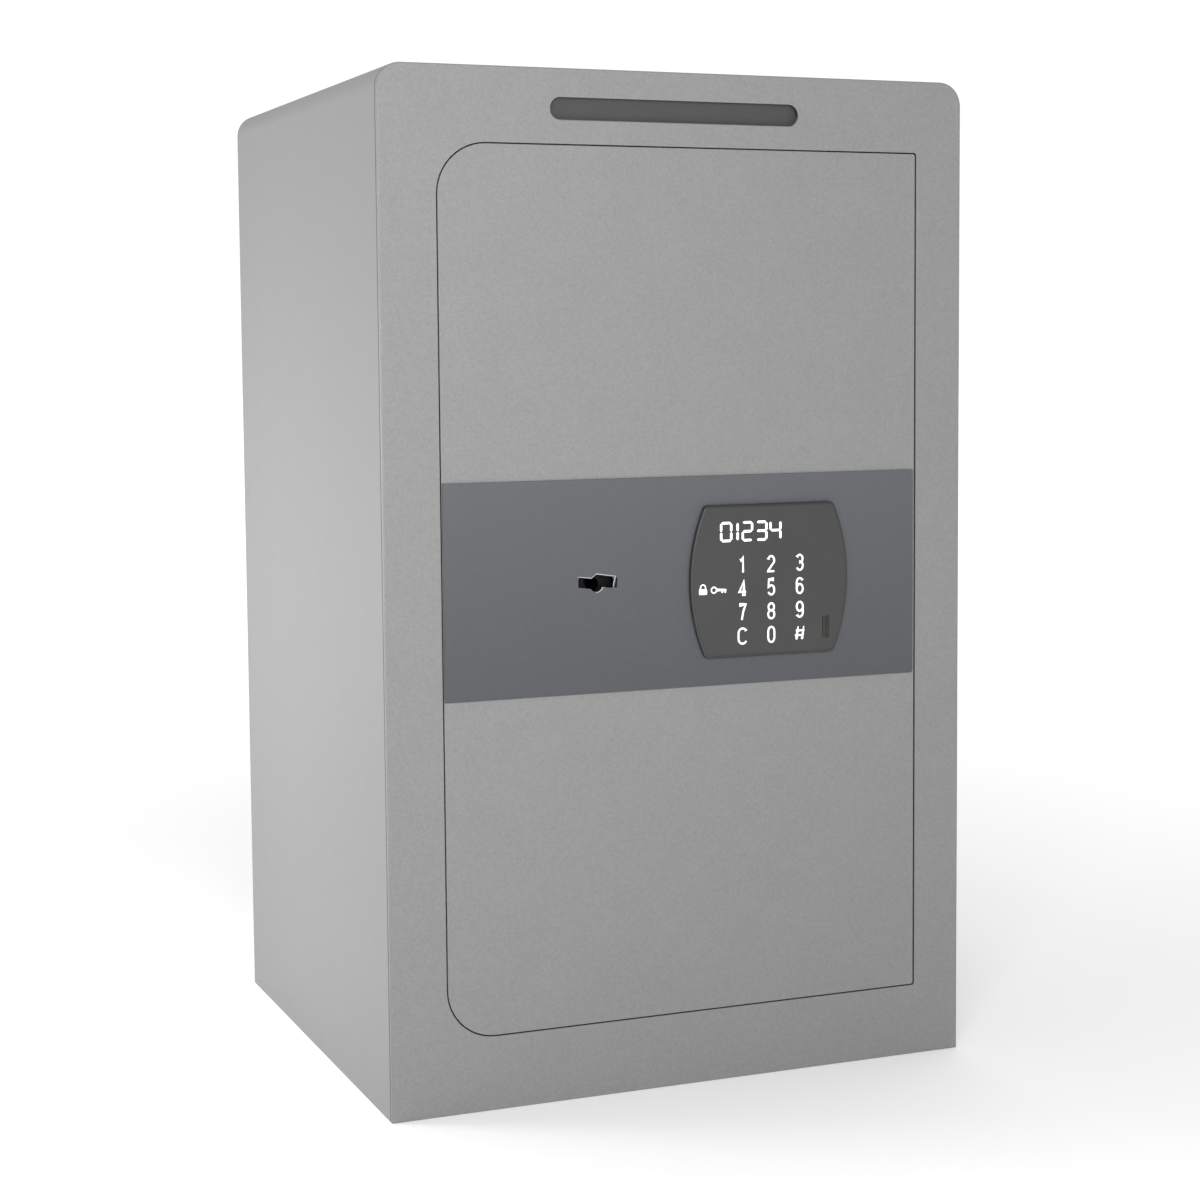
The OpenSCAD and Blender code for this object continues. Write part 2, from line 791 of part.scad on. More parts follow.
// A sheet box, open to the door, with screw lugs, bolt holes and openings for the cells and button.
module inner_cover() {
  color("darkgray") difference() {
    union() {
      span([cover_x0, door_back_y, cover_z0], [cover_x1, cover_back_y, cover_z1]);
      for (x = screw_xs, z = screw_zs)
        span([x - lug_w / 2, door_back_y, z - lug_w / 2],
          [x + lug_w / 2, door_back_y + cover_t, z + lug_w / 2]);
    }
    span([cover_x0 + cover_t, door_back_y - 1, cover_z0 + cover_t],
      [cover_x1 - cover_t, cover_inner_y, cover_z1 - cover_t]);
    for (z = bolt_zs) rod_x(cover_x0 - 1, cover_x0 + cover_t + 1, bolt_y, z, bolt_r + 1);
    for (x = screw_xs, z = screw_zs) rod_y(x, z, door_back_y - 1, door_back_y + cover_t + 1, 2.2);
    span([box_x0 + box_t, cover_inner_y - 1, box_z0 + box_t],
      [box_x1 - box_t, cover_back_y + 1, box_z1 - box_t]);
    rod_y(reset_x, reset_z, cover_inner_y - 1, cover_back_y + 1, 5.3);
  }
}

module cover_screws() {
  color("silver") for (x = screw_xs, z = screw_zs) difference() {
    union() {
      rod_y(x, z, door_back_y - 3, door_back_y + cover_t, 2);
      rod_y(x, z, door_back_y + cover_t, door_back_y + cover_t + 2, 3.8);
    }
    for (turn = [0, 90]) translate([x, door_back_y + cover_t + 1.6, z]) rotate([0, turn, 0])
      cube([4.4, 2, 0.9], center = true);
  }
}

// Two rails that the battery cover slides in.
module battery_bezel() {
  x0 = box_x0 - 6 - lid_travel;
  x1 = box_x1 + 6;
  color("black") for (side = [-1, 1]) {
    z = side > 0 ? box_z1 + 4 : box_z0 - 4;
    span([x0, cover_back_y, min(z, z + side * 3)], [x1, lid_y + lid_t + 1.6, max(z, z + side * 3)]);
    span([x0, lid_y + lid_t + 0.4, min(z - side * 3, z)], [x1, lid_y + lid_t + 1.6, max(z - side * 3, z)]);
  }
  color("black") span([x1 - 2, cover_back_y, box_z0 - 4], [x1, lid_y + lid_t + 1.6, box_z1 + 4]);
}

// ---- The bolt work ----

module bolt_bar() {
  color("silver") difference() {
    span([bar_x0, -150, 132], [bar_x1, -126.5, 469]);
    for (z = bolt_zs) rod_x(bar_x0 - 1, bar_x1 + 1, bolt_y, z, 5);
    for (dz = [-7, 7]) rod_x(bar_x0 - 1, bar_x1 + 1, -130, rack_z - 8 + dz, 1.6);
  }
}

module live_bolts() {
  color("gainsboro") for (z = bolt_zs) {
    rod_x(bolt_tip_x + 1, bar_x0, bolt_y, z, bolt_r);
    translate([bolt_tip_x, bolt_y, z]) rotate([0, 90, 0]) cylinder(h = 1, r1 = bolt_r - 1, r2 = bolt_r);
    rod_x(bar_x0, bar_x1, bolt_y, z, 4.95);
    rod_x(bar_x1, bar_x1 + 0.8, bolt_y, z, 6);
  }
}

// Teeth along the top edge, and a foot that is screwed to the bolt bar.
module rack() {
  x0 = bar_x1;
  x1 = pinion_x + bolt_travel + 11;
  root = rack_z - rack_ded;
  low = root - 9.2;
  first = ceil(-9 / tooth_pitch);
  last = floor((x1 - 3 - key_x) / tooth_pitch);
  root_half = tooth_pitch / 4 + rack_ded * tan(pressure) - tooth_slack / 2;
  tip_half = tooth_pitch / 4 - rack_add * tan(pressure) - tooth_slack / 2;
  color("silver") difference() {
    union() {
      plate(gear_y0, gear_y1 - gear_y0) polygon(concat(
        [[x0, low], [x0, root]],
        [
          for (i = [first : last], k = [0 : 3])
            let (half = k == 0 || k == 3 ? root_half : tip_half)
            [key_x + i * tooth_pitch + (k < 2 ? -half : half), k == 0 || k == 3 ? root : rack_z + rack_add]
        ],
        [[x1, root], [x1, low]]
      ));
      span([x0, gear_y0, rack_z - 21], [x0 + 3, gear_y1, root]);
    }
    for (dz = [-7, 7]) rod_x(x0 - 1, x0 + 4, -130, rack_z - 8 + dz, 1.6);
  }
}

module drive_pinion() {
  color("gold") difference() {
    gear(pinion_x, pinion_z, pinion_teeth);
    rod_y(pinion_x, pinion_z, gear_y0 - 1, gear_y1 + 1, shaft_r + pin_play);
  }
}

// The plug that the key turns, with its gear. Its key slot lines up with the hole once the bolts are out.
module key_rotor() {
  color("gold") difference() {
    union() {
      rod_y(key_x, key_z, door_back_y + 0.1, case_back_y - case_t - 0.3, rotor_r);
      rod_y(key_x, key_z, case_back_y - case_t - 0.3, gear_y0, journal_r);
      gear(key_x, key_z, rotor_teeth);
    }
    translate([key_x, 0, key_z]) rotate([0, -90, 0]) plate(door_back_y - 1, 20) intersection() {
      key_outline();
      circle(rotor_r - 1.2);
    }
  }
}

// A stack of levers with a window round the rotor, on one stump.
module lever_pack() {
  color("peru") for (i = [0 : lever_count - 1]) {
    y = door_back_y + case_t + 2 + i * lever_step;
    difference() {
      plate(y, lever_t) rounded(-72.5, 283.5, -40, 323, [2, 2, 6, 6]);
      rod_y(key_x, key_z, y - 1, y + lever_t + 1, rotor_r + 1.8);
      rod_y(stump_x, stump_z, y - 1, y + lever_t + 1, stump_r + pin_play);
    }
  }
}

// ---- Hand pieces inside the door ----

module reset_button() {
  color("red") {
    rod_y(reset_x, reset_z, board_y + board_t + 3.6 + reset_travel + 0.4, cover_inner_y - 1.6, 2.5);
    rod_y(reset_x, reset_z, cover_inner_y - 1.6, cover_inner_y - 0.1, 7);
    rod_y(reset_x, reset_z, cover_inner_y - 0.1, cover_back_y + 2.6, 5);
  }
}

module battery_cover() {
  x0 = box_x0 - 5;
  x1 = box_x1 + 3.6;
  color("black") difference() {
    span([x0, lid_y, box_z0 - 3.7], [x1, lid_y + lid_t, box_z1 + 3.7]);
    for (x = [x0 + 8 : 3 : x0 + 20])
      span([x, lid_y + lid_t - 0.5, 160], [x + 1.4, lid_y + lid_t + 1, 180]);
  }
}

body_wrap();
back_panel();
base_plate();
front_frame();
left_jamb();
right_jamb();
top_jamb();
bottom_jamb();
door_stop();
hinge_sockets();
hinge_bushes();
thrust_collar();
push_off_spring();
deposit_chute();
fishing_comb();
flap_rod();
floor_mat();
slot_flap();
door_plate();
band_plate();
keypad_housing();
keypad_overlay();
display_lens();
display_module();
keypad_pcb();
port_contacts();
hinge_brackets();
hinge_pins();
dog_bar();
bolt_guide();
lock_case();
lock_case_cover();
lever_stump();
gear_motor();
motor_bracket();
rack_guide();
limit_switches();
control_board();
board_standoffs();
ribbon_cable();
wiring();
battery_box();
battery_contacts();
batteries();
inner_cover();
cover_screws();
battery_bezel();
bolt_bar();
live_bolts();
rack();
drive_pinion();
key_rotor();
lever_pack();
reset_button();
battery_cover();
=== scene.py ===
"""Studio scene for an in-room safe with a deposit slot, an electronic keypad and a key override.

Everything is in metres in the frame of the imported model: X to the right of a person who faces the door,
Y from front to back, Z up from the floor.
"""
import json
import math

import bmesh
import bpy
from mathutils import Matrix, Vector


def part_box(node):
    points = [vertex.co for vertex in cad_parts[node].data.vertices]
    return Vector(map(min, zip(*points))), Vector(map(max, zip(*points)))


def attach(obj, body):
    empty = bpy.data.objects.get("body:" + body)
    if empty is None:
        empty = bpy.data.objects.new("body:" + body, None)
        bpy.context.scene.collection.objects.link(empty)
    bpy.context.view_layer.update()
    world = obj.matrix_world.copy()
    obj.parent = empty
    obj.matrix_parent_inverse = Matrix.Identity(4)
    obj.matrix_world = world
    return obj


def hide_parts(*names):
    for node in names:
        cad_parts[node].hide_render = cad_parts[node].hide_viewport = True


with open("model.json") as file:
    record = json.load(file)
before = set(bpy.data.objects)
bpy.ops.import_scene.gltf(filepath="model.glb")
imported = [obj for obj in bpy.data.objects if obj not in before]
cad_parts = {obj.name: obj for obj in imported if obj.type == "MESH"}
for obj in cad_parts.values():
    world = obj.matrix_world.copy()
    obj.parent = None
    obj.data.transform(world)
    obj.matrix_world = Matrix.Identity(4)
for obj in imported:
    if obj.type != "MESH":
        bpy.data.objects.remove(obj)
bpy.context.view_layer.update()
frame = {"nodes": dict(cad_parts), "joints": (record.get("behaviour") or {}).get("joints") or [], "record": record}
NODES = frame["nodes"]
MM = 0.001
SLOT_OF = {part["node"]: part["material_slot"] for part in frame["record"]["subparts"]}

# The key's axis, and the lean of its hole.
KEY_X, _, KEY_Z = next(joint["pos_m"] for joint in frame["joints"] if joint["name"] == "key_turn")
KEY_TILT = math.radians(-8)

# Print lies on the keypad's film, which lies a little below the rim of its housing. These are in mm.
FILM_DROP = 0.06
PRINT_DEPTH = 0.04
FILM_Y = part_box("keypad_overlay")[0].y / MM + FILM_DROP
PRINT_Y = FILM_Y - PRINT_DEPTH

# Camera: how it is turned, in degrees, and where it stands.
CAMERA_YAW, CAMERA_PITCH, CAMERA_ROLL = 21.94, 4.73, -0.47
CAMERA_PLACE = (-0.5643, -1.4313, 0.4430)

# Strength of the sky's light from the front and the back, and what the left side takes off.
SKY_FRONT, SKY_BACK, SKY_LEFT = 0.47, 1.05, -0.22


# ---- Camera, floor and light ----

def basis(right, up, back, place):
    """A matrix from three axes and a place."""
    m = Matrix.Identity(4)
    for column, axis in enumerate((right, up, back, place)):
        for row in range(3):
            m[row][column] = axis[row]
    return m


def make_camera():
    yaw, pitch, roll = (math.radians(angle) for angle in (CAMERA_YAW, CAMERA_PITCH, CAMERA_ROLL))
    ahead = Vector((math.sin(yaw) * math.cos(pitch), math.cos(yaw) * math.cos(pitch), -math.sin(pitch)))
    level = Vector((math.cos(yaw), -math.sin(yaw), 0.0))
    over = level.cross(ahead)
    right = level * math.cos(roll) + over * math.sin(roll)
    up = over * math.cos(roll) - level * math.sin(roll)
    data = bpy.data.cameras.new("studio_camera")
    data.sensor_width = 36.0
    data.lens = 70.77
    data.shift_y = -0.05
    data.clip_start = 0.05
    data.clip_end = 60.0
    cam = bpy.data.objects.new("studio_camera", data)
    bpy.context.scene.collection.objects.link(cam)
    cam.matrix_world = basis(right, up, -ahead, CAMERA_PLACE)
    bpy.context.scene.camera = cam


def area_light(name, place, target, size, power, colour=(1.0, 1.0, 1.0)):
    data = bpy.data.lights.new(name, "AREA")
    data.shape = "RECTANGLE"
    data.size, data.size_y = size
    data.energy = power
    data.color = colour
    lamp = bpy.data.objects.new(name, data)
    bpy.context.scene.collection.objects.link(lamp)
    lamp.location = place
    lamp.visible_camera = False
    lamp.rotation_euler = (Vector(target) - Vector(place)).to_track_quat("-Z", "Y").to_euler()


def make_world():
    """A white backdrop, whose light is dimmer from the front and the left than from behind."""
    world = bpy.data.worlds.new("studio")
    bpy.context.scene.world = world
    world.use_nodes = True
    tree = world.node_tree
    sky = tree.nodes["Background"]
    sky.inputs["Color"].default_value = (1.0, 1.0, 1.0, 1.0)
    ray = tree.nodes.new("ShaderNodeTexCoord")
    axes = tree.nodes.new("ShaderNodeSeparateXYZ")
    tree.links.new(ray.outputs["Generated"], axes.inputs["Vector"])
    total = None
    for axis, start, end, low, high in (
            ("Y", -0.3, 0.45, SKY_FRONT, SKY_BACK), ("X", -0.9, 0.1, SKY_LEFT, 0.0)):
        part = tree.nodes.new("ShaderNodeMapRange")
        part.interpolation_type = "SMOOTHSTEP"
        for key, value in (("From Min", start), ("From Max", end), ("To Min", low), ("To Max", high)):
            part.inputs[key].default_value = value
        tree.links.new(axes.outputs[axis], part.inputs["Value"])
        if total is None:
            total = part.outputs["Result"]
        else:
            both = tree.nodes.new("ShaderNodeMath")
            tree.links.new(total, both.inputs[0])
            tree.links.new(part.outputs["Result"], both.inputs[1])
            total = both.outputs["Value"]
    seen = tree.nodes.new("ShaderNodeMath")
    seen.operation = "MAXIMUM"
    tree.links.new(total, seen.inputs[0])
    tree.links.new(tree.nodes.new("ShaderNodeLightPath").outputs["Is Camera Ray"], seen.inputs[1])
    tree.links.new(seen.outputs["Value"], sky.inputs["Strength"])


def make_studio():
    make_world()
    area_light("left_softbox", (-0.64, 0.1, 0.28), (-0.18, 0.1, 0.28), (0.2, 0.2), 1.9)
    area_light("front_softbox", (-0.5, -1.2, 0.64), (-0.1, -0.16, 0.4), (0.5, 0.5), 9.4)
    mesh = bpy.data.meshes.new("studio_floor")
    mesh.from_pydata([(-20, -20, 0), (20, -20, 0), (20, 20, 0), (-20, 20, 0)], [], [(0, 1, 2, 3)])
    floor = bpy.data.objects.new("studio_floor", mesh)
    bpy.context.scene.collection.objects.link(floor)
    mesh.materials.append(floor_paint())
    bpy.context.scene.view_settings.view_transform = "Standard"


# ---- Materials ----

class Nodes:
    """A short way to write a material's node tree."""

    def __init__(self, name):
        self.mat = bpy.data.materials.new(name)
        self.mat.use_nodes = True
        self.tree = self.mat.node_tree
        self.tree.nodes.clear()
        self.out = self.add("ShaderNodeOutputMaterial")
        self.shader = self.add("ShaderNodeBsdfPrincipled")
        self.link(self.shader.outputs["BSDF"], self.out.inputs["Surface"])
        self.place = self.add("ShaderNodeTexCoord").outputs["Object"]

    def add(self, kind, **values):
        node = self.tree.nodes.new(kind)
        for key, value in values.items():
            setattr(node, key, value)
        return node

    def link(self, a, b):
        self.tree.links.new(a, b)

    def stretched(self, scale):
        node = self.add("ShaderNodeMapping")
        node.inputs["Scale"].default_value = scale
        self.link(self.place, node.inputs["Vector"])
        return node.outputs["Vector"]

    def noise(self, scale, detail=2.0, rough=0.5, vector=None):
        node = self.add("ShaderNodeTexNoise")
        node.inputs["Scale"].default_value = scale
        node.inputs["Detail"].default_value = detail
        node.inputs["Roughness"].default_value = rough
        self.link(vector or self.place, node.inputs["Vector"])
        return node.outputs["Fac"]

    def span(self, value, low, high, start=0.3, end=0.7):
        node = self.add("ShaderNodeMapRange")
        for key, number in (("From Min", start), ("From Max", end), ("To Min", low), ("To Max", high)):
            node.inputs[key].default_value = number
        self.link(value, node.inputs["Value"])
        return node.outputs["Result"]

    def math(self, operation, a, b):
        node = self.add("ShaderNodeMath", operation=operation)
        for socket, value in zip(node.inputs, (a, b)):
            if isinstance(value, (int, float)):
                socket.default_value = value
            else:
                self.link(value, socket)
        return node.outputs["Value"]

    def tint(self, fac, dark, light):
        """A colour between two, by a factor from 0 to 1."""
        node = self.add("ShaderNodeMix", data_type="RGBA")
        node.inputs["A"].default_value = (*dark, 1.0)
        node.inputs["B"].default_value = (*light, 1.0)
        self.link(fac, node.inputs["Factor"])
        return node.outputs["Result"]

    def bump(self, height, depth, strength=1.0, before=None):
        node = self.add("ShaderNodeBump")
        node.inputs["Distance"].default_value = depth
        node.inputs["Strength"].default_value = strength
        self.link(height, node.inputs["Height"])
        if before:
            self.link(before, node.inputs["Normal"])
        return node.outputs["Normal"]

    def finish(self, colour=None, rough=None, normal=None, **fixed):
        for name, value in (("Base Color", colour), ("Roughness", rough), ("Normal", normal)):
            if value is not None:
                self.link(value, self.shader.inputs[name])
        for name, value in fixed.items():
            self.shader.inputs[name.replace("_", " ")].default_value = value
        return self.mat


def shade(colour, factor):
    return tuple(min(1.0, c * factor) for c in colour)


def powder(name, colour, depth=0.00004, rough=(0.44, 0.54), mottle_and_painted_shade=0.07, scale=900.0, painted_shade_heights=None):
    """Baked powder coat: orange peel with a finer grit over it, and slow clouds in its colour.

    Given two heights in metres, the coat grows lighter from the first to the second: painted shade, darker towards
    the bottom, whose spread is set together with that of the clouds.
    """
    n = Nodes(name)
    peel = n.noise(scale, 2.0, 0.55)
    grit = n.noise(scale * 3.2, 1.0)
    cloud = n.noise(35.0, 3.0)
    fac = n.math("ADD", n.math("MULTIPLY", cloud, 0.12), n.math("MULTIPLY", peel, 0.88))
    both = n.math("ADD", peel, n.math("MULTIPLY", grit, 0.35))
    tone = n.span(fac, 0.0, 1.0)
    if painted_shade_heights:
        axes = n.add("ShaderNodeSeparateXYZ")
        n.link(n.place, axes.inputs["Vector"])
        tone = n.math("ADD", n.math("MULTIPLY", tone, 0.3), n.span(axes.outputs["Z"], 0.0, 0.7, *painted_shade_heights))
    return n.finish(
        n.tint(tone, shade(colour, 1 - mottle_and_painted_shade), shade(colour, 1 + mottle_and_painted_shade)),
        n.span(n.noise(60.0, 3.0), *rough), n.bump(both, depth))


def metal(name, colour, rough=(0.25, 0.4), brushed=None, depth=0.000012, spangle=None):
    """Bare or plated metal. brushed is the direction that the lines run along."""
    n = Nodes(name)
    if spangle:
        cells = n.add("ShaderNodeTexVoronoi")
        cells.inputs["Scale"].default_value = spangle
        n.link(n.place, cells.inputs["Vector"])
        grey = n.add("ShaderNodeSeparateColor")
        n.link(cells.outputs["Color"], grey.inputs["Color"])
        lines, fac = n.noise(1400.0, 2.0), grey.outputs["Red"]
    else:
        axis = {"x": (6, 900, 900), "y": (900, 6, 900), "z": (900, 900, 6)}[brushed or "z"]
        lines = n.noise(1.6, 4.0, 0.6, n.stretched(axis))
        fac = n.span(lines, 0.0, 1.0)
    smear = n.noise(45.0, 4.0, 0.6)
    return n.finish(
        n.tint(fac, shade(colour, 0.86), shade(colour, 1.06)),
        n.span(smear, *rough), n.bump(lines, depth), Metallic=1.0)


def plastic(name, colour, rough=(0.38, 0.5), grain=2200.0, depth=0.00002, **fixed):
    """Moulded plastic with a spark-eroded grain."""
    n = Nodes(name)
    grit = n.noise(grain, 2.0, 0.6)
    cloud = n.noise(30.0, 2.0)
    return n.finish(
        n.tint(n.span(cloud, 0.0, 1.0), shade(colour, 0.95), shade(colour, 1.05)),
        n.span(n.noise(120.0, 3.0), *rough), n.bump(grit, depth), **fixed)


def floor_paint():
    """Matt white, with a little light of its own further out, so that the floor has no horizon."""
    n = Nodes("studio_floor_paint")
    cloud = n.noise(1.5, 2.0)
    reach = n.add("ShaderNodeVectorMath", operation="LENGTH")
    n.link(n.place, reach.inputs[0])
    n.link(n.span(reach.outputs["Value"], 0.2, 0.55, 0.45, 1.8), n.shader.inputs["Emission Strength"])
    return n.finish(n.tint(cloud, (0.88, 0.88, 0.88), (0.9, 0.9, 0.9)), n.span(cloud, 0.75, 0.85),
                    Emission_Color=(1.0, 1.0, 1.0, 1.0))


def felt_cloth():
    n = Nodes("felt")
    fibre = n.noise(700.0, 6.0, 0.75, n.stretched((1.0, 2.4, 1.0)))
    tuft = n.noise(260.0, 3.0, 0.6)
    colour = n.tint(n.span(fibre, 0.0, 1.0, 0.25, 0.75), (0.018, 0.02, 0.024), (0.06, 0.066, 0.074))
    height = n.math("ADD", fibre, n.math("MULTIPLY", tuft, 0.6))
    return n.finish(colour, n.span(tuft, 0.9, 1.0), n.bump(height, 0.0007),
                    Sheen_Weight=0.35, Sheen_Roughness=0.6)


def board_resist():
    """Solder resist with fine tracks showing through it."""
    n = Nodes("circuit_board")
    track = n.add("ShaderNodeTexBrick")
    track.inputs["Scale"].default_value = 1.0
    track.inputs["Brick Width"].default_value = 0.006
    track.inputs["Row Height"].default_value = 0.0019
    track.inputs["Mortar Size"].default_value = 0.00022
    turn = n.add("ShaderNodeMapping")
    turn.inputs["Rotation"].default_value = (math.radians(90), 0, 0)
    n.link(n.place, turn.inputs["Vector"])
    n.link(turn.outputs["Vector"], track.inputs["Vector"])
    cloud = n.noise(300.0, 2.0)
    lines = track.outputs["Fac"]
    return n.finish(
        n.tint(lines, (0.012, 0.11, 0.045), (0.03, 0.2, 0.08)),
        n.span(cloud, 0.28, 0.4), n.bump(lines, 0.00003), Coat_Weight=0.4)


def ribbed_ribbon():
    n = Nodes("grey_ribbon")
    wave = n.add("ShaderNodeTexWave", bands_direction="X")
    wave.inputs["Scale"].default_value = 400.0
    n.link(n.place, wave.inputs["Vector"])
    ribs = wave.outputs["Fac"]
    return n.finish(n.tint(ribs, (0.24, 0.24, 0.26), (0.46, 0.46, 0.48)), n.span(ribs, 0.4, 0.55),
                    n.bump(ribs, 0.0002))


def glow(name, colour, strength, base):
    n = Nodes(name)
    cloud = n.noise(800.0, 2.0)
    return n.finish(n.tint(cloud, shade(base, 0.95), base), n.span(cloud, 0.4, 0.5),
                    Emission_Color=(*colour, 1.0), Emission_Strength=strength)


GREY = (0.233, 0.233, 0.233)
MATERIALS = {
    "grey_powder_coat": powder("grey_powder_coat", GREY, mottle_and_painted_shade=0.1),
    "grey_inner_paint": powder("grey_inner_paint", (0.2, 0.2, 0.205)),
    # The band's coat is painted darker towards its bottom: painted shade.
    "dark_band_coat": powder("dark_band_coat", (0.081, 0.086, 0.0935), rough=(0.34, 0.46), mottle_and_painted_shade=0.22,
                             scale=1100.0, painted_shade_heights=(0.24, 0.366)),
    "dark_flap_paint": powder("dark_flap_paint", (0.056, 0.056, 0.056), rough=(0.6, 0.7)),
    "keypad_plastic": plastic("keypad_plastic", (0.036, 0.036, 0.0375)),
    "keypad_film": plastic("keypad_film", (0.044, 0.044, 0.0445), rough=(0.42, 0.52)),
    "smoked_lens": plastic("smoked_lens", (0.01, 0.01, 0.012), rough=(0.08, 0.14), Coat_Weight=0.6),
    "zinc_steel": metal("zinc_steel", (0.6, 0.6, 0.58), rough=(0.28, 0.42), spangle=420.0),
    "bolt_steel": metal("bolt_steel", (0.72, 0.72, 0.72), rough=(0.16, 0.28), brushed="z"),
    "motor_steel": metal("motor_steel", (0.5, 0.5, 0.51), rough=(0.22, 0.34), brushed="y"),
    "brass": metal("brass", (0.7, 0.52, 0.24), rough=(0.24, 0.38), brushed="y"),
    "contact_metal": metal("contact_metal", (0.78, 0.68, 0.42), rough=(0.2, 0.3), brushed="x"),
    "circuit_board": board_resist(),
    "black_plastic": plastic("black_plastic", (0.024, 0.024, 0.025)),
    "nylon": plastic("nylon", (0.72, 0.7, 0.62), rough=(0.34, 0.46)),
    "grey_ribbon": ribbed_ribbon(),
    "wire_jacket": plastic("wire_jacket", (0.42, 0.03, 0.025), rough=(0.3, 0.4), grain=900.0),
    "cell_jacket": plastic("cell_jacket", (0.48, 0.26, 0.05), rough=(0.2, 0.3), Metallic=0.4),
    "red_button": plastic("red_button", (0.5, 0.015, 0.015), rough=(0.3, 0.42)),
    "felt": felt_cloth(),
}
EXTRA = {
    "grey_fine_coat": powder("grey_fine_coat", GREY, depth=0.00001, rough=(0.485, 0.505), mottle_and_painted_shade=0.02,
                             scale=1600.0),
    # Darker paint standing in for shade in the slot: painted shade.
    "slot_painted_shade": powder("slot_painted_shade", (0.12, 0.12, 0.12), rough=(0.6, 0.7)),
    # Darker paint standing in for shade in the groove where the wrap meets the front plate: painted shade.
    "seam_painted_shade": powder("seam_painted_shade", (0.1, 0.1, 0.1), rough=(0.6, 0.7)),
    "cut_steel": metal("cut_steel", (0.62, 0.62, 0.62), rough=(0.2, 0.32), brushed="x"),
    # Black oxide, which also serves as painted shade in and behind the key hole.
    "black_oxide_and_painted_shade": metal("black_oxide_and_painted_shade", (0.02, 0.02, 0.022), rough=(0.4, 0.55), brushed="y"),
    "dark_bronze": metal("dark_bronze", (0.1, 0.085, 0.06), rough=(0.35, 0.5), brushed="z"),
    "black_wire": plastic("black_wire", (0.02, 0.02, 0.02), rough=(0.3, 0.4)),
    "white_wire": plastic("white_wire", (0.6, 0.6, 0.57), rough=(0.3, 0.4)),
    # White print that glows a little though no lamp lights it: painted light.
    "white_print_painted_glow": glow("white_print_painted_glow", (1.0, 1.0, 1.0), 0.42, (0.8, 0.8, 0.8)),
    "lit_segment": glow("lit_segment", (1.0, 1.0, 1.0), 0.85, (0.85, 0.85, 0.85)),
}


# ---- CAD nodes: rounded edges and finishes ----

# Widths of the nodes' rounded edges in mm, where they aren't SMALL_BEVEL.
SMALL_BEVEL = 0.15
BEVELS = {
    "back_panel": 0.5, "base_plate": 0.5, "slot_flap": 0.2, "inner_cover": 0.5, "battery_cover": 0.3,
    "battery_bezel": 0.3, "live_bolts": 0.5, "bolt_bar": 0.4, "hinge_brackets": 0.8, "dog_bar": 0.6,
    "deposit_chute": 0.3, "left_jamb": 0.4, "right_jamb": 0.4, "top_jamb": 0.4, "bottom_jamb": 0.4,
    "hinge_sockets": 0.6, "display_lens": 0.2,
}
SHARP = math.radians(38)


def finish_nodes():
    """Gives every node its slot's material, and rounds its sharp edges with modifiers."""
    for name, obj in NODES.items():
        mesh = obj.data
        mesh.materials[0] = MATERIALS[SLOT_OF[name]]
        for attribute in ("custom_normal", "sharp_edge", "sharp_face"):
            if attribute in mesh.attributes:
                mesh.attributes.remove(mesh.attributes[attribute])
        mesh.shade_smooth()
        weld = obj.modifiers.new("weld", "WELD")
        weld.merge_threshold = 0.000002
        flat = obj.modifiers.new("flat", "DECIMATE")
        flat.decimate_type = "DISSOLVE"
        flat.angle_limit = math.radians(0.3)
        flat.delimit = {"MATERIAL"}
        bevel = obj.modifiers.new("bevel", "BEVEL")
        bevel.width = BEVELS.get(name, SMALL_BEVEL) * MM
        bevel.segments = 2
        bevel.limit_method = "ANGLE"
        bevel.angle_limit = SHARP
        bevel.harden_normals = False
        obj.modifiers.new("normals", "WEIGHTED_NORMAL").keep_sharp = False


# ---- Pieces that stand for CAD nodes, and printed detail ----

def refined(node):
    """The node's mesh with its triangles merged back into whole faces, as a bmesh."""
    bm = bmesh.new()
    bm.from_mesh(NODES[node].data)
    bmesh.ops.remove_doubles(bm, verts=bm.verts, dist=0.000002)
    bmesh.ops.dissolve_limit(bm, angle_limit=math.radians(0.3), verts=bm.verts, edges=bm.edges)
    return bm


def middle_of(node):
    """The middle of a node's box."""
    low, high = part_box(node)
    return (low + high) / 2


def piece(name, bm, body, slot, *materials, replaces=()):
    """A new object from a bmesh, with flat faces kept flat and its edges shaded smooth."""
    bmesh.ops.recalc_face_normals(bm, faces=bm.faces)
    mesh = bpy.data.meshes.new(name)
    bm.to_mesh(mesh)
    bm.free()
    mesh.shade_smooth()
    for material in materials:
        mesh.materials.append(material)
    obj = bpy.data.objects.new(name, mesh)
    bpy.context.scene.collection.objects.link(obj)
    obj.modifiers.new("normals", "WEIGHTED_NORMAL").keep_sharp = False
    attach(obj, body)
    if replaces:
        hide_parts(*replaces)
    return obj


def sharp_edges(bm, keep):
    """The sharp edges that pass a test of their two ends."""
    return [e for e in bm.edges if len(e.link_faces) == 2 and e.calc_face_angle(0) > SHARP
            and keep(*(v.co for v in e.verts))]


def bevel(bm, edges, width, segments=2):
    """Rounds those edges, to a width in mm."""
    bmesh.ops.bevel(bm, geom=edges, offset=width * MM, offset_type="OFFSET", segments=segments, profile=0.5,
                    affect="EDGES", material=-1, clamp_overlap=False)


def by_key(spot, reach):
    """True where a spot, in metres, is within that many mm of the key's axis."""
    return (spot.x - KEY_X) ** 2 + (spot.z - KEY_Z) ** 2 < (reach * MM) ** 2


def key_frame(v):
    """A vector turned into the key's own frame, which leans by KEY_TILT."""
    c, s = math.cos(KEY_TILT), math.sin(KEY_TILT)
    return Vector((v.x * c + v.z * s, 0.0, v.z * c - v.x * s))


def key_rim(outward, spot):
    """How far the key hole's edge leans outward at the front, at a spot from the key's axis, all in mm."""
    if outward.z > 0.3:
        return 1.25
    if abs(outward.x) > 0.8:
        return 1.0
    return 0.8 if spot.x > 0.4 and abs(spot.length - 3.9) < 0.15 else 0.0


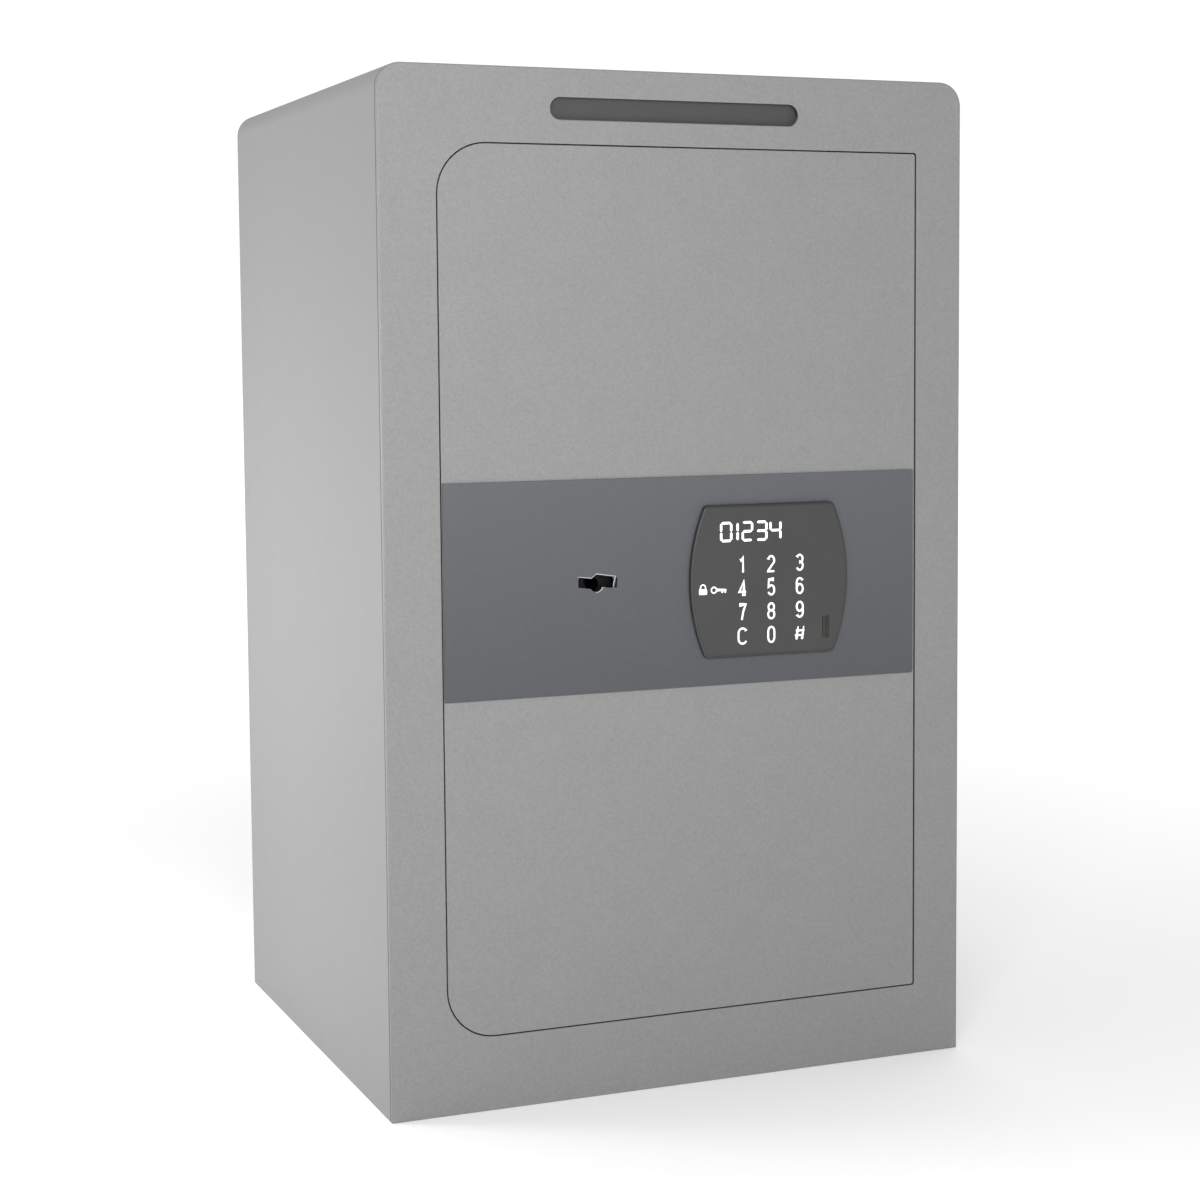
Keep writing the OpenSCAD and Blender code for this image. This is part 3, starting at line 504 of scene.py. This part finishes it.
def make_band():
    """The band plate. The punch left a bare rolled edge round its key hole, except on the lower side."""
    bm = refined("band_plate")
    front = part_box("band_plate")[0].y
    post = Vector((KEY_X, front, KEY_Z))

    def at_key(*ends):
        return all(by_key(co, 13) for co in ends)

    def on_front(*ends):
        return all(abs(co.y - front) < 0.00001 for co in ends)

    bevel(bm, sharp_edges(bm, lambda a, b: on_front(a, b) and not at_key(a, b)), 0.22)
    moves = []
    for vert in bm.verts:
        if at_key(vert.co) and on_front(vert.co):
            walls = [f.normal for f in vert.link_faces if abs(f.normal.y) < 0.5]
            outward = -sum(walls, Vector()).normalized()
            reach = key_rim(key_frame(outward), key_frame((vert.co - post) / MM))
            moves.append((vert, outward * reach * MM))
    # Painted shade: the key hole's walls that don't lean are black.
    for face in bm.faces:
        if abs(face.normal.y) < 0.5 and at_key(*(v.co for v in face.verts)):
            leans = any(vert in face.verts and move.length > 0 for vert, move in moves)
            face.material_index = 1 if leans else 2
    for vert, move in moves:
        vert.co += move
    piece("band_face", bm, "door", "dark_band_coat", MATERIALS["dark_band_coat"], EXTRA["cut_steel"],
          EXTRA["black_oxide_and_painted_shade"], replaces=["band_plate"])


def make_key_dark_line():
    """A thin dark stroke laid on the band beside the key hole, on its right."""
    bm = bmesh.new()
    c, s = math.cos(KEY_TILT), math.sin(KEY_TILT)
    reach, low, high = 12.6, -0.2, 5.6
    ends = [(reach * c - z * s + KEY_X / MM, reach * s + z * c + KEY_Z / MM) for z in (low, high)]
    add_stroke(bm, ends, 0.8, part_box("band_plate")[0].y / MM - 0.03)
    piece("key_dark_line", bm, "door", "dark_band_coat", EXTRA["black_oxide_and_painted_shade"])


def outer_edges(bm, front, centre):
    """The edges round the outside of a plate's front face, with walls that face away from the centre."""
    def is_outer(edge):
        middle = (edge.verts[0].co + edge.verts[1].co) / 2
        return any(abs(f.normal.y) < 0.5 and f.normal.dot(middle - centre) > 0 for f in edge.link_faces)

    on_front = sharp_edges(bm, lambda a, b: max(abs(a.y - front), abs(b.y - front)) < 0.00002)
    return [edge for edge in on_front if is_outer(edge)]


def make_housing():
    """The keypad's housing, with a wide round edge."""
    bm = refined("keypad_housing")
    bevel(bm, outer_edges(bm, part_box("keypad_housing")[0].y, middle_of("keypad_housing")), 1.25, 5)
    piece("keypad_shell", bm, "door", "keypad_plastic", MATERIALS["keypad_plastic"],
          replaces=["keypad_housing"])


def make_front():
    """The front plate, with a rolled outer edge, softened openings and a groove where the wrap meets it."""
    bm = refined("front_frame")
    centre = middle_of("front_frame")
    near, far = (corner.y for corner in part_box("front_frame"))
    bevel(bm, outer_edges(bm, near, centre), 0.9, 3)
    bevel(bm, outer_edges(bm, far, centre), 0.35, 1)
    bevel(bm, sharp_edges(bm, lambda a, b: max(a.y, b.y) < near + 0.01 * MM), 0.3)
    # The slot's walls get a darker paint: painted shade, so that the slot looks dark inside.
    low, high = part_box("slot_flap")
    for face in bm.faces:
        spot = face.calc_center_median()
        if abs(face.normal.y) < 0.5 and low.x < spot.x < high.x and low.z < spot.z < high.z:
            face.material_index = 1
    piece("front_plate", bm, "body", "grey_powder_coat", MATERIALS["grey_powder_coat"], EXTRA["slot_painted_shade"],
          replaces=["front_frame"])


def make_wrap():
    """The folded sheet of the sides and top, which is smoother than the front, with softened outer edges."""
    bm = refined("body_wrap")
    centre = middle_of("body_wrap")
    near, far = (corner.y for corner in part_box("body_wrap"))
    bevel(bm, outer_edges(bm, near, centre), 1.0, 1)
    # The bevel faces at the seam with the front plate get a darker paint: painted shade in the groove.
    for face in bm.faces:
        depth = face.calc_center_median().y - near
        if 0.1 * MM < depth < 0.9 * MM and face.normal.y < -0.3:
            face.material_index = 1
    bevel(bm, outer_edges(bm, far, centre), 0.6)
    piece("wrap_sheet", bm, "body", "grey_powder_coat", EXTRA["grey_fine_coat"], EXTRA["seam_painted_shade"],
          replaces=["body_wrap"])


def make_door():
    """The door plate, with a softened edge all round its face."""
    bm = refined("door_plate")
    bevel(bm, outer_edges(bm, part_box("door_plate")[0].y, middle_of("door_plate")), 0.35)
    # Painted shade: the walls of the key hole in the door plate are black.
    for face in bm.faces:
        if abs(face.normal.y) < 0.5 and by_key(face.calc_center_median(), 12.5):
            face.material_index = 1
    piece("door_face", bm, "door", "grey_powder_coat", MATERIALS["grey_powder_coat"], EXTRA["black_oxide_and_painted_shade"],
          replaces=["door_plate"])


def make_film():
    """The keypad's printed film, laid a little below the rim of its housing."""
    bm = refined("keypad_overlay")
    for vert in bm.verts:
        vert.co.y += FILM_DROP * MM
    bevel(bm, sharp_edges(bm, lambda a, b: max(a.y, b.y) < (FILM_Y + 0.04) * MM), 0.12)
    piece("keypad_face_film", bm, "door", "keypad_film", MATERIALS["keypad_film"],
          replaces=["keypad_overlay"])


def arc(cx, cz, rx, rz, start, end, steps=14):
    """Points on an ellipse, from one angle to another in degrees."""
    angles = [math.radians(start + (end - start) * i / steps) for i in range(steps + 1)]
    return [(cx + rx * math.cos(a), cz + rz * math.sin(a)) for a in angles]


def add_stroke(bm, points, width, front, depth=PRINT_DEPTH, closed=False):
    """A printed stroke: a thin bar of that width along the points, which are x and z in mm."""
    count = len(points)
    rings = []
    for i, (x, z) in enumerate(points):
        before = points[i - 1] if closed or i else points[i]
        after = points[(i + 1) % count] if closed or i + 1 < count else points[i]
        a = Vector((x - before[0], z - before[1]))
        b = Vector((after[0] - x, after[1] - z))
        a, b = (a or b).normalized(), (b or a).normalized()
        across = Vector((-(a.y + b.y), a.x + b.x)).normalized()
        half = width / 2 / max(0.5, across.dot(Vector((-a.y, a.x))))
        sides = [(x + s * across.x * half, z + s * across.y * half) for s in (1, -1)]
        corners = [(sx, y, sz) for y in (front, front + depth) for sx, sz in sides]
        rings.append([bm.verts.new(Vector(corner) * MM) for corner in corners])
    for i in range(count if closed else count - 1):
        p, q = rings[i], rings[(i + 1) % count]
        for a, b in ((0, 1), (1, 3), (3, 2), (2, 0)):
            bm.faces.new((p[a], p[b], q[b], q[a]))
    if not closed:
        for ring in (rings[0], rings[-1]):
            bm.faces.new((ring[0], ring[1], ring[3], ring[2]))


def add_plate(bm, points, front, depth=PRINT_DEPTH):
    """A printed patch with that outline, x and z in mm."""
    near = [bm.verts.new((x * MM, front * MM, z * MM)) for x, z in points]
    far = [bm.verts.new((x * MM, (front + depth) * MM, z * MM)) for x, z in points]
    bm.faces.new(near)
    bm.faces.new(far[::-1])
    for i in range(len(points)):
        j = (i + 1) % len(points)
        bm.faces.new((near[i], far[i], far[j], near[j]))


def glyph(mark, w, h):
    """The strokes of a numeral or sign, as (points, closed), in a box of w by h."""
    r = w / 2
    loop = arc(r, h - 2.7, r, 2.7, 0, 180) + arc(r, 2.7, r, 2.7, 180, 360)
    six = arc(r, h - 2.6, r, 2.6, 28, 180) + arc(r, 2.75, r, 2.75, 180, 540, 28)
    three = arc(r, h - 2.3, r - 0.1, 2.3, 155, -80) + arc(r, 2.6, r, 2.6, 80, -155)
    return {
        "0": [(loop, True)],
        "1": [([(0.7, h - 1.9), (1.7, h - 1.3), (2.5, h), (2.5, 0)], False)],
        "2": [(arc(r, h - 2.6, r, 2.6, 165, -25) + [(0.2, 0.7), (0, 0), (w, 0)], False)],
        "3": [(three, False)],
        "4": [([(w * 0.72, 0), (w * 0.72, h), (0, 2.5), (w + 0.3, 2.5)], False)],
        "5": [([(w - 0.3, h), (0.55, h), (0.2, h * 0.5)] + arc(r, 2.8, r, 2.8, 122, -155), False)],
        "6": [(six, False)],
        "7": [([(0, h), (w, h), (w * 0.62, h * 0.55), (w * 0.38, 0)], False)],
        "8": [(arc(r, h - 2.2, r - 0.2, 2.2, 0, 352, 24), True), (arc(r, 2.5, r, 2.5, 0, 352, 24), True)],
        "9": [([(w - x, h - z) for x, z in six], False)],
        "C": [(arc(r, h - 2.9, r, 2.9, 28, 180) + arc(r, 2.9, r, 2.9, 180, 332), False)],
        "#": [([(0.3, 0), (1.5, h)], False), ([(w - 1.1, 0), (w + 0.1, h)], False),
              ([(-0.6, h * 0.32), (w, h * 0.32)], False), ([(0, h * 0.68), (w + 0.6, h * 0.68)], False)],
    }[mark]


def make_legends():
    """Numerals and signs printed on the film, one for each key."""
    bm = bmesh.new()
    pen = 1.22
    columns, rows = (35.2, 54.2, 73.2), (312.0, 298.0, 283.7, 269.5)
    for row, marks in zip(rows, ("123", "456", "789", "C0#")):
        for x, mark in zip(columns, marks):
            width = 0.78 if mark == "#" else pen
            w, h = {"C": 6.6, "#": 5.9}.get(mark, 5.3) - width, (8.6 if mark == "#" else 10.3) - width
            for points, closed in glyph(mark, w, h):
                placed = [(x - w / 2 + px, row - h / 2 + pz) for px, pz in points]
                add_stroke(bm, placed, width, PRINT_Y, closed=closed)
    # The printed numerals glow: painted light.
    piece("keypad_legends", bm, "door", "keypad_film", EXTRA["white_print_painted_glow"])


def make_pictogram():
    """A padlock and a key, printed to the left of the numerals."""
    bm = bmesh.new()
    x, z, w, h, cut = 6.9, 295.3, 5.2, 3.4, 0.4
    corners = ((cut, 0), (w - cut, 0), (w, cut), (w, h - cut), (w - cut, h), (cut, h), (0, h - cut), (0, cut))
    add_plate(bm, [(x + a, z + b) for a, b in corners], PRINT_Y)
    shackle = arc(x + 2.6, z + 4.2, 1.6, 1.8, 180, 0, 10)
    add_stroke(bm, [(x + 1.0, z + 3.3), *shackle, (x + 4.2, z + 3.3)], 0.8, PRINT_Y)
    add_stroke(bm, arc(16.6, 297.8, 1.7, 1.7, 0, 345, 23), 0.9, PRINT_Y, closed=True)
    add_stroke(bm, [(18.2, 297.8), (24.4, 297.8)], 0.9, PRINT_Y)
    for tooth in (22.0, 23.9):
        add_stroke(bm, [(tooth, 297.9), (tooth, 295.9)], 0.9, PRINT_Y)
    # The printed pictogram glows: painted light.
    piece("keypad_pictogram", bm, "door", "keypad_film", EXTRA["white_print_painted_glow"])


def make_digits():
    """The lit segments of the display, which shine through the film."""
    bm = bmesh.new()
    low, high, t, gap = 326.0, 338.0, 1.45, 0.12
    mid = (low + high) / 2

    def bar(x0, z0, x1, z1):
        """A segment from one joint to the next, with pointed ends."""
        along = Vector((x1 - x0, z1 - z0)).normalized()
        side = Vector((-along.y, along.x)) * (t / 2)
        a, b = Vector((x0, z0)) + along * gap, Vector((x1, z1)) - along * gap
        point = along * (t / 2)
        ring = (a, a + point + side, b - point + side, b, b - point - side, a + point - side)
        add_plate(bm, [tuple(corner) for corner in ring], PRINT_Y)

    digits = ((20.7, 28.7, "abcdef"), (25.2, 32.9, "bc"), (34.8, 42.4, "abged"), (44.0, 51.8, "abgcd"),
              (53.1, 61.1, "fgbc"))
    for x0, x1, lit in digits:
        left, right, top, base = x0 + t / 2, x1 - t / 2, high - t / 2, low + t / 2
        places = {"a": (left, top, right, top), "b": (right, mid, right, top), "c": (right, base, right, mid),
                  "d": (left, base, right, base), "e": (left, base, left, mid), "f": (left, mid, left, top),
                  "g": (left, mid, right, mid)}
        for segment in lit:
            bar(*places[segment])
    piece("display_digits", bm, "door", "smoked_lens", EXTRA["lit_segment"])


def paint_faces(node, material, test=lambda centre: True):
    """Gives another finish to the node's faces whose centre, in metres, passes the test."""
    mesh = NODES[node].data
    mesh.materials.append(material)
    for face in mesh.polygons:
        if test(face.center):
            face.material_index = len(mesh.materials) - 1


def paint_details():
    """Black round the key, which is painted shade so that the key hole looks dark inside, blackened steel in the
    hinges, parts on the circuit board, and coloured wires.
    """
    black = EXTRA["black_oxide_and_painted_shade"]
    rotor_front, case_front, board_face = -157 * MM, -158.4 * MM, -148.35 * MM
    rotor_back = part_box("key_rotor")[1].y - 0.1 * MM
    chips_low, chips_high = 377 * MM, 426 * MM
    # Painted shade: the faces that show through the key hole are black.
    paint_faces("key_rotor", black, lambda c: by_key(c, 5.9) and c.y < rotor_back or c.y < rotor_front)
    paint_faces("lock_case", black, lambda c: c.y < case_front)
    paint_faces("lever_pack", black, lambda c: by_key(c, 12))
    paint_faces("hinge_pins", black)
    paint_faces("port_contacts", EXTRA["dark_bronze"])
    paint_faces("control_board", MATERIALS["nylon"],
                lambda c: c.y > board_face and not chips_low < c.z < chips_high)
    paint_faces("control_board", MATERIALS["black_plastic"],
                lambda c: c.y > board_face and chips_low < c.z < chips_high)
    paint_faces("wiring", EXTRA["black_wire"], lambda c: c.x > 50 * MM and c.z < 372 * MM)
    paint_faces("wiring", EXTRA["white_wire"], lambda c: c.z > 400 * MM)


def make_mat():
    """Needled felt on the floor of the safe, cut round the anchor holes."""
    bm = refined("floor_mat")
    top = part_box("floor_mat")[1].z
    bevel(bm, sharp_edges(bm, lambda a, b: min(a.z, b.z) > top - 0.1 * MM), 0.7)
    mat = piece("floor_felt", bm, "body", "felt", MATERIALS["felt"], replaces=["floor_mat"])


make_camera()
make_studio()
make_front()
make_wrap()
make_door()
make_band()
make_key_dark_line()
make_housing()
make_film()
make_legends()
make_pictogram()
make_digits()
make_mat()
paint_details()
finish_nodes()
